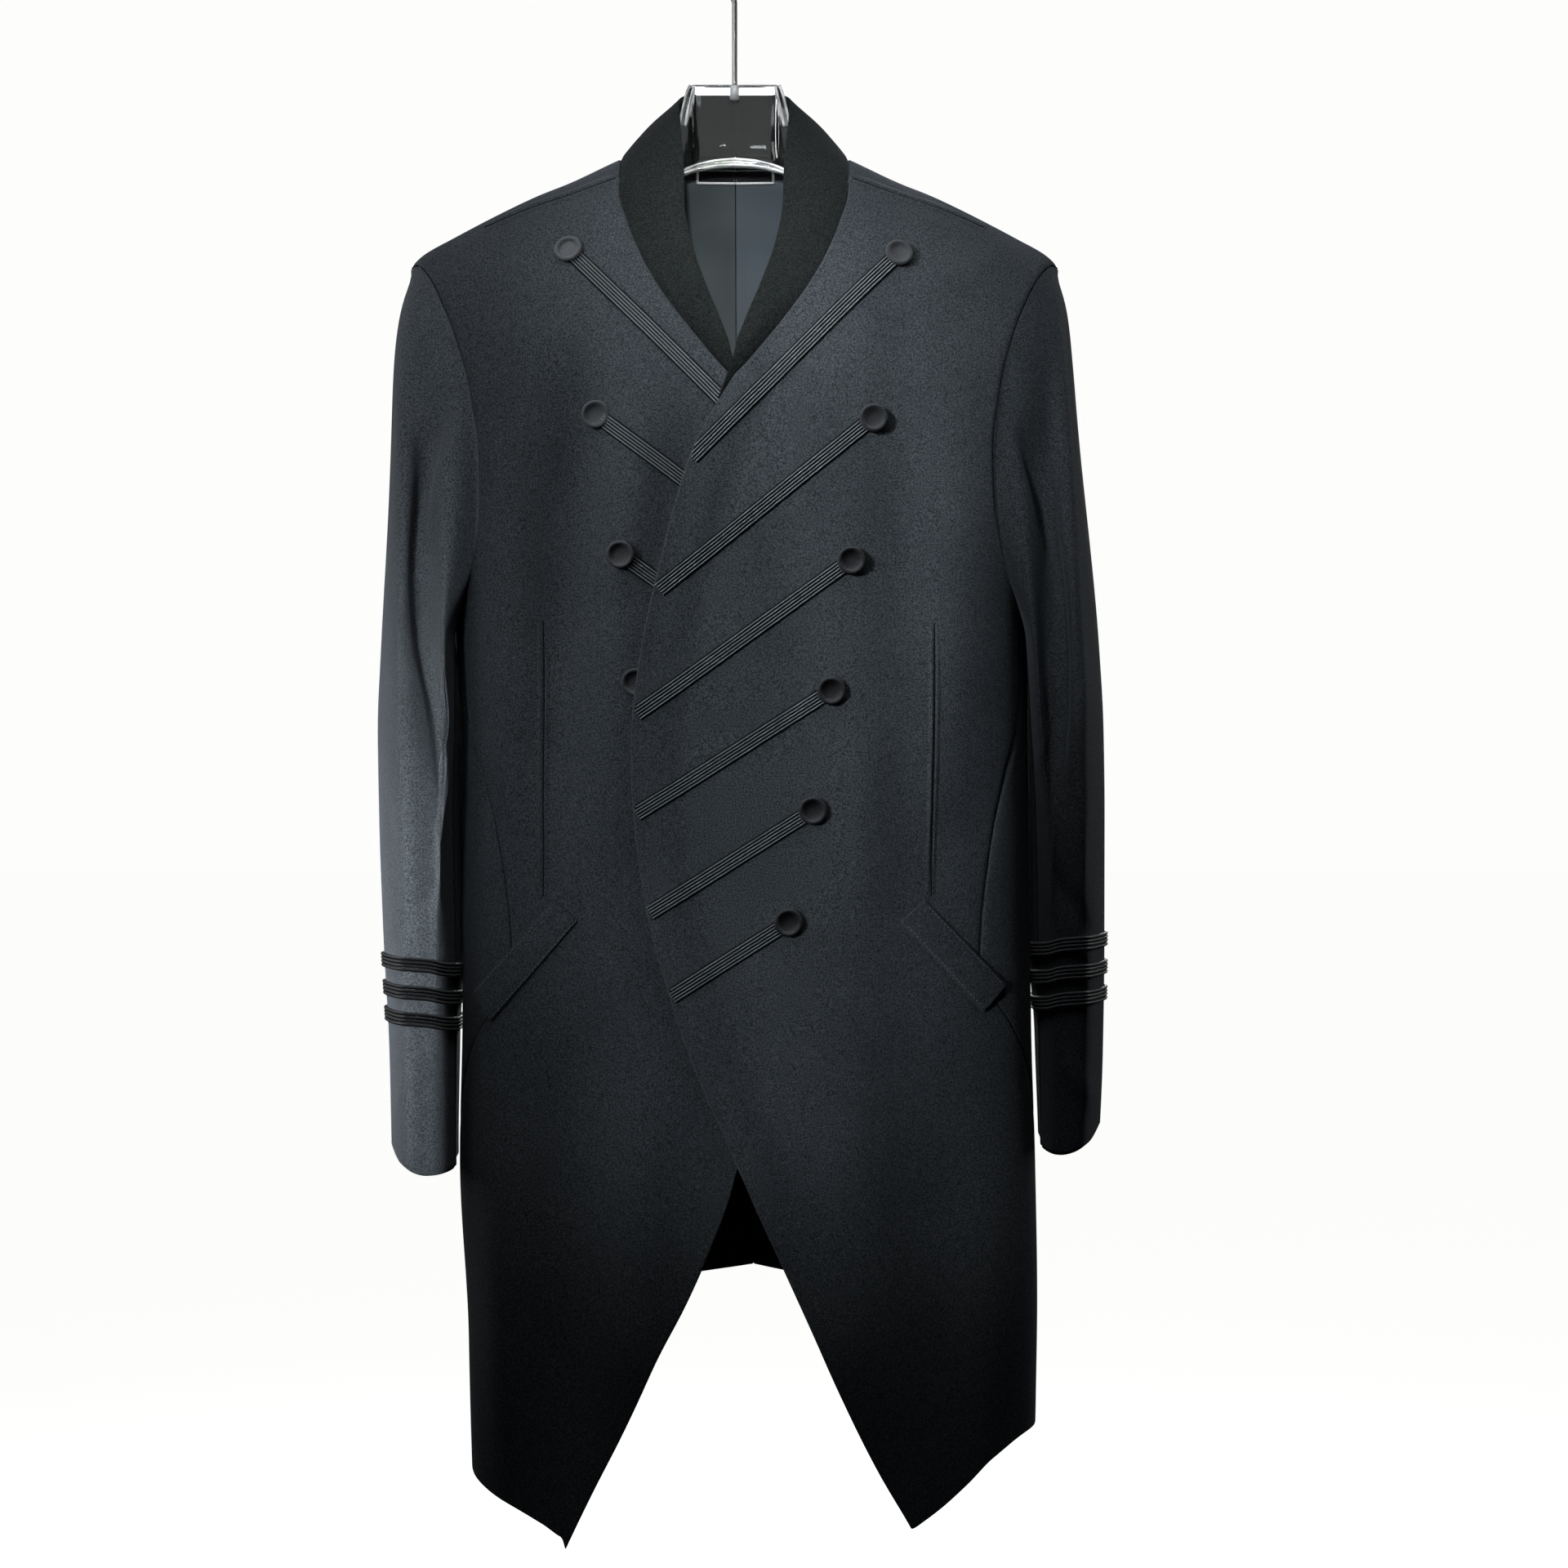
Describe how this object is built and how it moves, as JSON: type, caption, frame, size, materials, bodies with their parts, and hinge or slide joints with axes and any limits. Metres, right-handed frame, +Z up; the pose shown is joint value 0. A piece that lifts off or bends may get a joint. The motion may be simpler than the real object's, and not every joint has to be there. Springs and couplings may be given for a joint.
{
  "type": "tailcoat on a hanger",
  "caption": "Wool tailcoat with a band collar, lapped fronts, braid fastenings and braided cuffs, hanging open and hollow from a clear hanger with a steel hook.",
  "frame": {"origin": "inner top of the hanger's hook, where the hanger is held", "axes": "+Z up, -Y to the coat's front, +X to the wearer's left"},
  "size_m": [0.5319, 0.1751, 1.1766],
  "materials": {
    "wool": "matte brushed wool",
    "braid": "satin soutache braid",
    "button": "covered dished button",
    "lining": "satin lining",
    "label": "plain woven label",
    "clear_plastic": "clear moulded",
    "steel": "polished wire"
  },
  "bodies": {
    "root": {"front_left": "wool", "front_right": "wool", "side_left": "wool", "side_right": "wool", "back_left": "wool", "back_right": "wool", "collar_left": "wool", "collar_right": "wool", "sleeve_upper_left": "wool", "sleeve_upper_right": "wool", "sleeve_under_left": "wool", "sleeve_under_right": "wool", "welt_left": "wool", "welt_right": "wool", "lining_left": "lining", "lining_right": "lining", "neck_label": "label", "hanger_body": "clear_plastic", "hanger_hook": "steel", "braid_left_1": "braid", "braid_left_2": "braid", "braid_left_3": "braid", "braid_left_4": "braid", "braid_left_5": "braid", "braid_left_6": "braid", "braid_right_1": "braid", "braid_right_2": "braid", "braid_right_3": "braid", "cuff_braid_left_1": "braid", "cuff_braid_left_2": "braid", "cuff_braid_left_3": "braid", "cuff_braid_right_1": "braid", "cuff_braid_right_2": "braid", "cuff_braid_right_3": "braid", "button_left_1": "button", "button_left_2": "button", "button_left_3": "button", "button_left_4": "button", "button_left_5": "button", "button_left_6": "button", "button_right_1": "button", "button_right_2": "button", "button_right_3": "button", "button_right_4": "button"}
  },
  "joints": []
}
